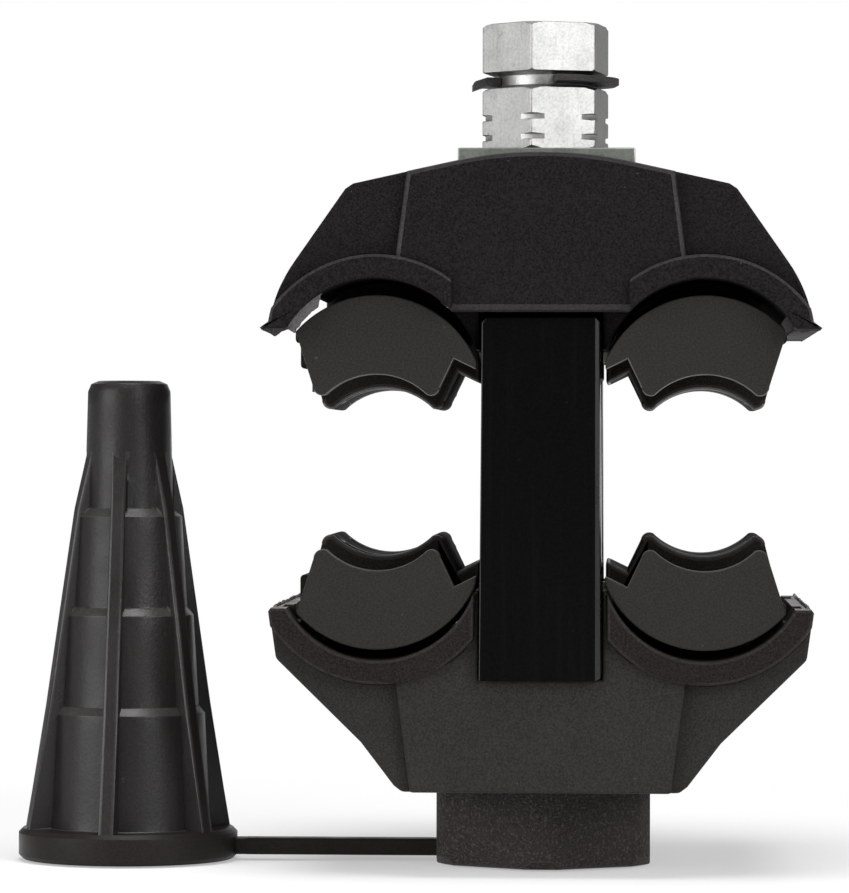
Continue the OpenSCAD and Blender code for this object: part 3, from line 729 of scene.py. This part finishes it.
def add_lip_flash(name, material, front, side, angles):
    """Flash along the inner arc of an upper front lip, between two angles from the upright, in degrees."""
    count = 60
    sunk = 0.2
    rows = []
    for j in range(count + 1):
        t = j / count
        turn = math.radians(angles[0] + (angles[1] - angles[0]) * t)
        fine = noise.noise(Vector((t * 17.0, side * 3.0, 2.2)))
        reach = smooth_step(0.0, 0.3, t) + 0.16 * fine
        row = []
        for r, y in ((sunk, 0.5), (-reach, 0.75), (-reach, 1.15), (sunk, 1.6)):
            out = CRADLE_R + r
            x = side * (CRADLE_X + out * math.sin(turn))
            row.append((x, front + y, CRADLE_Z + out * math.cos(turn)))
        rows.append(row)
    add_mesh_piece(name, *closed_grid(rows), FLASH_SHADE, material, "upper", "body_upper")


def add_lower_flash(name, material, side, edge_x):
    """A ragged fin of moulding flash that stands on an outer lip of the lower half."""
    count = 150
    rows = []
    for j in range(count + 1):
        y = -FLASH_HALF_Y + 2 * FLASH_HALF_Y * j / count
        rough = noise.noise(Vector((y * 0.35, side * 5.0, LOWER_LIP)))
        fine = noise.noise(Vector((y * 1.9, side * 9.0, LOWER_LIP)))
        top = LOWER_LIP + FLASH_RISE * (0.55 + 0.9 * abs(rough) + 0.6 * max(0.0, fine))
        tip_x = edge_x - 0.25 - 0.2 * abs(fine)
        inner = [(edge_x - 0.7, LOWER_LIP - 0.15), (tip_x - 0.15, top)]
        outer = [(tip_x, top), (edge_x - 0.1, LOWER_LIP - 0.1)]
        rows.append([(side * x, y, z) for x, z in inner + outer])
    add_mesh_piece(name, *closed_grid(rows), FLASH_SHADE, material, "lower", "body_lower")


def add_flash(made):
    """The flash on the lips of both halves."""
    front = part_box("upper_body")[0][1] / MM
    half_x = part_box("lower_body")[1][0] / MM
    edge = made["upper_edge"]
    add_fringe("upper_flash_left", edge, front, (-30.1, -27.2), (0.1, 0.4, 0.75, 0.3, 0.1))
    add_fringe("upper_flash_right", edge, front, (27.2, 30.1), (0.25, 0.35, 0.2, 0.1))
    # The lip flash is moulding flash painted pale as a painted glint, on the right in the pale edge material.
    add_lip_flash("lip_flash_left", made["flash"], front, -1, (30.0, 59.0))
    add_lip_flash("lip_flash_right", edge, front, 1, (50.0, 59.0))
    # The lower flash takes the lips' painted light from above.
    for side, word in ((-1, "left"), (1, "right")):
        add_lower_flash("lower_flash_" + word, made["lip_top_painted_light"], side, half_x - FLASH_IN)


def add_halves(made):
    """The two body halves and the guide. Only the edges that stand out at the front are pale, partly as wear
    and partly as a painted highlight, and the tops of the lower lips get painted light.
    """
    panel_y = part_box("upper_body")[1][1] / MM - COLLAR_STEP
    lower_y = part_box("lower_body")[1][1] / MM

    def at_seat(p):
        return abs(abs(p.y) - SEAT_Y) < NEAR and p.z > SEAT_Z

    def at_foot(p):
        return abs(p.z - FOOT_Z) < NEAR and abs(p.y) > FOOT_Y and abs(p.x) < FOOT_HALF_X

    def at_panel(p):
        return abs(abs(p.y) - panel_y) < NEAR and p.z > PANEL_Z

    # Keeps pale edges only at the front and outside the cradles, and gives the panel's sideways edges the
    # paler rib material: partly wear, partly a painted highlight.
    def upper_paint(middle, normal, index):
        if index != EDGE:
            return None
        from_axis = math.hypot(abs(middle.x) - CRADLE_X, middle.z - CRADLE_Z)
        ahead = abs(middle.y) - panel_y
        if ahead > CLOSE:
            return None if from_axis > CRADLE_R + OUTER_ARC else SURFACE
        if ahead < -PALE_DEPTH:
            return SURFACE
        if abs(middle.z - FOOT_Z) < FOOT_BAND:
            return None
        return FIRST_OWN if abs(normal.x) > SIDEWAYS else None

    # Paints the lips' tops lighter as painted light from above, gives the collars' front their own darker
    # tone, and takes the pale off edges far behind the front.
    def lower_paint(middle, normal, index):
        if normal.z > FACES_UP and abs(middle.x) > LIP_X and abs(middle.z - LOWER_LIP) < LIP_BAND:
            return SECOND_OWN
        if index == SURFACE and abs(middle.y) > lower_y - ON_FACE:
            return FIRST_OWN
        return SURFACE if index == EDGE and abs(middle.y) < lower_y - LOWER_PALE_DEPTH else None

    refine(
        "upper_body", made, "upper", width=0.32,
        wide=[(at_seat, 0.0), (at_foot, 0.8), (at_panel, 0.5)], paint=upper_paint, extra=[made["upper_rib_wear_and_highlight"]],
    )
    refine(
        "lower_body", made, "lower", width=0.32,
        paint=lower_paint, extra=[made["lower_collar"], made["lip_top_painted_light"]],
    )
    refine("centre_guide", made, "guide", width=0.12, wide=[(lambda p: p.x > GUIDE_RIGHT, 0.7)])


def add_boots(made):
    """The boots: thin rims on the groove side of the end walls, wider ones between them, both a painted
    highlight, and inner faces darkened as painted shade.
    """
    for node in ("boot_upper_left", "boot_upper_right", "boot_lower_left", "boot_lower_right"):
        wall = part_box(node)[1][1] / MM - BOOT_END
        upper = "upper" in node
        block = [(lambda p, wall=wall: abs(p.y) < wall - BLOCK_IN, 0.5)]

        # Darkens the inner faces and the tabs as painted shade, and keeps pale rims, a painted highlight,
        # only where they face the groove.
        def hollows(middle, normal, index, wall=wall, upper=upper):
            inside = abs(middle.y) < wall - NEAR
            if inside and (index == SURFACE or abs(middle.x) > TAB_X):
                return CREASE
            if index != EDGE:
                return None
            if upper:
                return None if normal.z < -GROOVE_SIDE else SURFACE
            return FIRST_OWN if normal.z > GROOVE_SIDE else SURFACE

        refine(
            node, made, "boot", width=0.2, steps=3, wide=block, paint=hollows,
            extra=[made["boot_rim_painted_highlight"]],
        )


def add_cap(made):
    """The end cap, with soft shoulders in a painted highlight and a duller flange, and its strap, joined to
    it without a seam.
    """
    joint_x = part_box("cap_strap")[0][0] / MM
    joint = [(lambda p: abs(p.x - joint_x) < CLOSE, 0.0)]
    cap_axis_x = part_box("end_cap")[0][0] / MM + CAP_FLANGE_R
    looks = [made["cap_flange"], made["cap_shoulder_painted_highlight"]]

    # Gives the flange its own duller material, and the shoulders their painted highlight.
    def flange(middle, normal, index):
        if middle.z < FLANGE_TOP:
            return FIRST_OWN
        from_axis = Vector((middle.x - cap_axis_x, middle.y, 0.0)).normalized()
        sloped = LEAST_SLOPE < normal.z < MOST_SLOPE and normal.dot(from_axis) > OUTWARD
        return SECOND_OWN if sloped and middle.z < SHOULDER_TOP else None

    refine("end_cap", made, "cap", width=0.35, steps=3, wide=joint, paint=flange, extra=looks)
    refine("cap_strap", made, "cap", width=0.2, wide=joint, paint=flange, extra=looks)


# Studio.
def white_for_eyes(tree, dull, share=None):
    """White emission for camera, glossy and transmission rays, by share; the dull shader for the rest."""
    path = put(tree, "ShaderNodeLightPath")
    seen = path.outputs["Is Camera Ray"]
    for other in ("Is Glossy Ray", "Is Transmission Ray"):
        either = put(tree, "ShaderNodeMath", {"operation": "MAXIMUM"}, i0=seen, i1=path.outputs[other])
        seen = either.outputs["Value"]
    if share is not None:
        shared = put(tree, "ShaderNodeMath", {"operation": "MULTIPLY"}, i0=share, i1=seen)
        seen = shared.outputs["Value"]
    white = put(tree, "ShaderNodeEmission", Color=(1.0, 1.0, 1.0, 1.0), Strength=1.0)
    both = put(tree, "ShaderNodeMixShader", i0=seen, i1=dull.outputs["BSDF"], i2=white.outputs["Emission"])
    put(tree, "ShaderNodeOutputMaterial", Surface=both.outputs["Shader"])


def add_plane(name, corners, material):
    mesh = bpy.data.meshes.new(name)
    mesh.from_pydata(corners, [], [(0, 1, 2, 3)])
    mesh.materials.append(material)
    plane = bpy.data.objects.new(name, mesh)
    scene.collection.objects.link(plane)


def add_stage():
    """A pale floor that keeps the object's soft shadow and goes white away from it, and a white backdrop."""
    z = cad_box[0].z - FLOOR_GAP
    material, tree = new_material("floor_white")
    where = put(tree, "ShaderNodeTexCoord").outputs["Object"]
    to_centre = (-FLOOR_CENTRE_X, 0.0, -z)
    moved = put(tree, "ShaderNodeVectorMath", {"operation": "ADD"}, i0=where, i1=to_centre)
    away = put(tree, "ShaderNodeVectorMath", {"operation": "LENGTH"}, i0=moved.outputs["Vector"])
    dull = put(tree, "ShaderNodeBsdfDiffuse", Color=STAGE_GREY)
    white_for_eyes(tree, dull, ramp(tree, away.outputs["Value"], [(0.05, 0.4), (0.14, 1.0)]))
    corners = [(-1, -1), (1, -1), (1, 1), (-1, 1)]
    add_plane("floor", [(FLOOR_REACH * x, FLOOR_REACH * y, z) for x, y in corners], material)
    material, tree = new_material("backdrop_white")
    dull = put(tree, "ShaderNodeBsdfDiffuse", Color=STAGE_GREY)
    white_for_eyes(tree, dull)
    left, right = -BACKDROP_HALF_X, BACKDROP_HALF_X
    low_edge = [(left, BACKDROP_Y, z), (right, BACKDROP_Y, z)]
    high_edge = [(right, BACKDROP_Y, BACKDROP_TOP), (left, BACKDROP_Y, BACKDROP_TOP)]
    add_plane("backdrop", low_edge + high_edge, material)


def add_light(name, at, size, power):
    data = bpy.data.lights.new(name, "AREA")
    data.shape = "DISK"
    data.size = size
    data.energy = power
    light = bpy.data.objects.new(name, data)
    scene.collection.objects.link(light)
    light.location = at
    light.rotation_euler = (AIM - Vector(at)).to_track_quat("-Z", "Y").to_euler()


def add_world():
    world = bpy.data.worlds.new("studio")
    world.use_nodes = True
    tree = world.node_tree
    tree.nodes.clear()
    room = put(tree, "ShaderNodeBackground", Color=(1.0, 1.0, 1.0, 1.0), Strength=ROOM_LIGHT)
    put(tree, "ShaderNodeOutputWorld", Surface=room.outputs["Background"])
    scene.world = world


def main():
    add_camera()
    made = make_materials()
    for node, (look, slot, width) in LOOKS.items():
        refine(node, made, look, width)
    add_halves(made)
    add_boots(made)
    add_cap(made)
    add_bolt(made)
    add_disc(made)
    add_flash(made)
    add_stage()
    for name, (at, size, power) in LIGHTS.items():
        add_light(name, at, size, power)
    add_world()
    scene.view_settings.view_transform = "Standard"


main()
